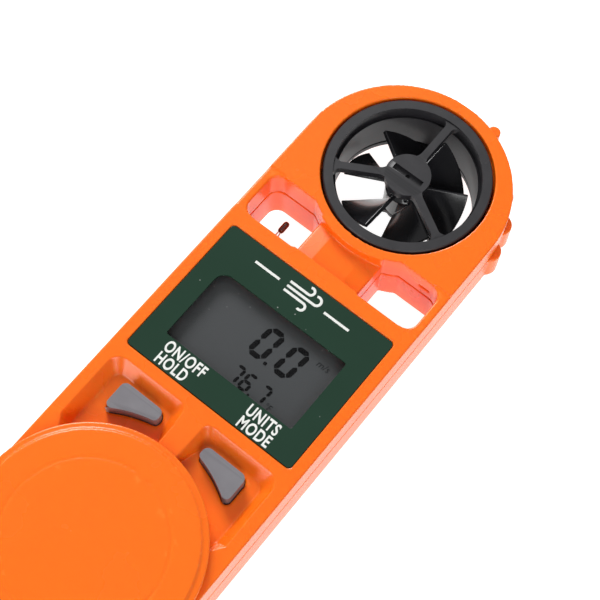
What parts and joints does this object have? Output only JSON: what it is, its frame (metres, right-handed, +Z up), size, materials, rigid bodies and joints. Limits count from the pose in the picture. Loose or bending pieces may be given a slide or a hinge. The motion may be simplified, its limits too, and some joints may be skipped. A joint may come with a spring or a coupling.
{
  "type": "handheld weather meter",
  "caption": "Pocket weather meter with impeller, thermistor window, display and keys, and a folding protective sheath that swings out into a handle.",
  "frame": {"origin": "middle of the bottom of the open meter's bounding box, on the surface that it lies on", "axes": "+Y along the meter towards the impeller end, +Z up out of the display, +X to the right as the display is read"},
  "size_m": [0.0456, 0.2252, 0.019],
  "materials": {
    "orange_shell": "semi-gloss moulded plastic",
    "green_panel": "glossy printed panel",
    "clear_window": "clear acrylic",
    "lcd": "dark grey reflective display",
    "white_plastic": "matt",
    "conductive_rubber": "matt striped rubber",
    "board": "solder mask",
    "chip": "matt",
    "grey_rubber": "matt",
    "grey_key": "satin",
    "black_rubber": "matt",
    "steel": "plated",
    "tinned_wire": "bright",
    "copper_coil": "enamelled copper wire",
    "insulated_wire": "satin",
    "dark_glass": "glossy glass bead",
    "charcoal_plastic": "satin moulded plastic",
    "ruby": "polished",
    "black_impeller": "glossy",
    "magnet": "sintered",
    "nylon": "matt"
  },
  "bodies": {
    "meter": {"front_shell": "orange_shell", "rear_shell": "orange_shell", "faceplate": "green_panel", "display_window": "clear_window", "lcd_glass": "lcd", "lcd_holder": "white_plastic", "zebra_strip_upper": "conductive_rubber", "zebra_strip_lower": "conductive_rubber", "circuit_board": "board", "controller_chip": "chip", "keypad_mat": "grey_rubber", "rubber_dome_left": "grey_rubber", "rubber_dome_right": "grey_rubber", "shell_gasket": "black_rubber", "probe_grommet": "black_rubber", "case_screw_1": "steel", "case_screw_2": "steel", "case_screw_3": "steel", "case_screw_4": "steel", "battery_cell": "steel", "battery_contact_negative": "steel", "battery_contact_positive": "steel", "timing_crystal": "steel", "thermistor_lead_left": "tinned_wire", "thermistor_lead_right": "tinned_wire", "pickup_coil": "copper_coil", "pickup_lead_left": "insulated_wire", "pickup_lead_right": "insulated_wire", "thermistor_bead": "dark_glass", "pivot_washer_front": "nylon", "pivot_washer_rear": "nylon"},
    "sheath": {"sheath_front": "orange_shell", "sheath_rear": "orange_shell", "pivot_screw": "steel", "sheath_screw_1": "steel", "sheath_screw_2": "steel"},
    "cartridge": {"cartridge_housing": "charcoal_plastic", "cartridge_rear_spider": "charcoal_plastic", "jewel_front": "ruby", "jewel_rear": "ruby"},
    "rotor": {"impeller_rotor": "black_impeller", "rotor_shaft": "steel", "rotor_magnet": "magnet"},
    "left_key": {"key_left": "grey_key"},
    "right_key": {"key_right": "grey_key"},
    "cell_cap": {"battery_cap": "orange_shell", "battery_cap_seal": "black_rubber"}
  },
  "joints": [
    {"name": "sheath_fold", "type": "hinge", "parent": "meter", "child": "sheath", "pos_m": [-0.0014, 0.0011, 0.0095], "axis": [0, 0, -1], "range_deg": [0, 180]},
    {"name": "cartridge_slide", "type": "slide", "parent": "meter", "child": "cartridge", "axis": [0, 0, -1], "range_m": [-0.016, 0]},
    {"name": "impeller_spin", "type": "hinge", "parent": "cartridge", "child": "rotor", "pos_m": [-0.0014, 0.0929, 0.0095], "axis": [0, 0, 1], "continuous": true},
    {"name": "key_left_press", "type": "slide", "parent": "meter", "child": "left_key", "axis": [0, 0, -1], "range_m": [0, 0.0006], "stiffness_N_per_m": 1200, "springref_m": -0.001, "deforming": ["rubber_dome_left"]},
    {"name": "key_right_press", "type": "slide", "parent": "meter", "child": "right_key", "axis": [0, 0, -1], "range_m": [0, 0.0006], "stiffness_N_per_m": 1200, "springref_m": -0.001, "deforming": ["rubber_dome_right"]},
    {"name": "battery_cap_turn", "type": "hinge", "parent": "meter", "child": "cell_cap", "pos_m": [-0.0014, 0.0466, 0.002], "axis": [0, 0, -1], "range_deg": [0, 60]}
  ]
}
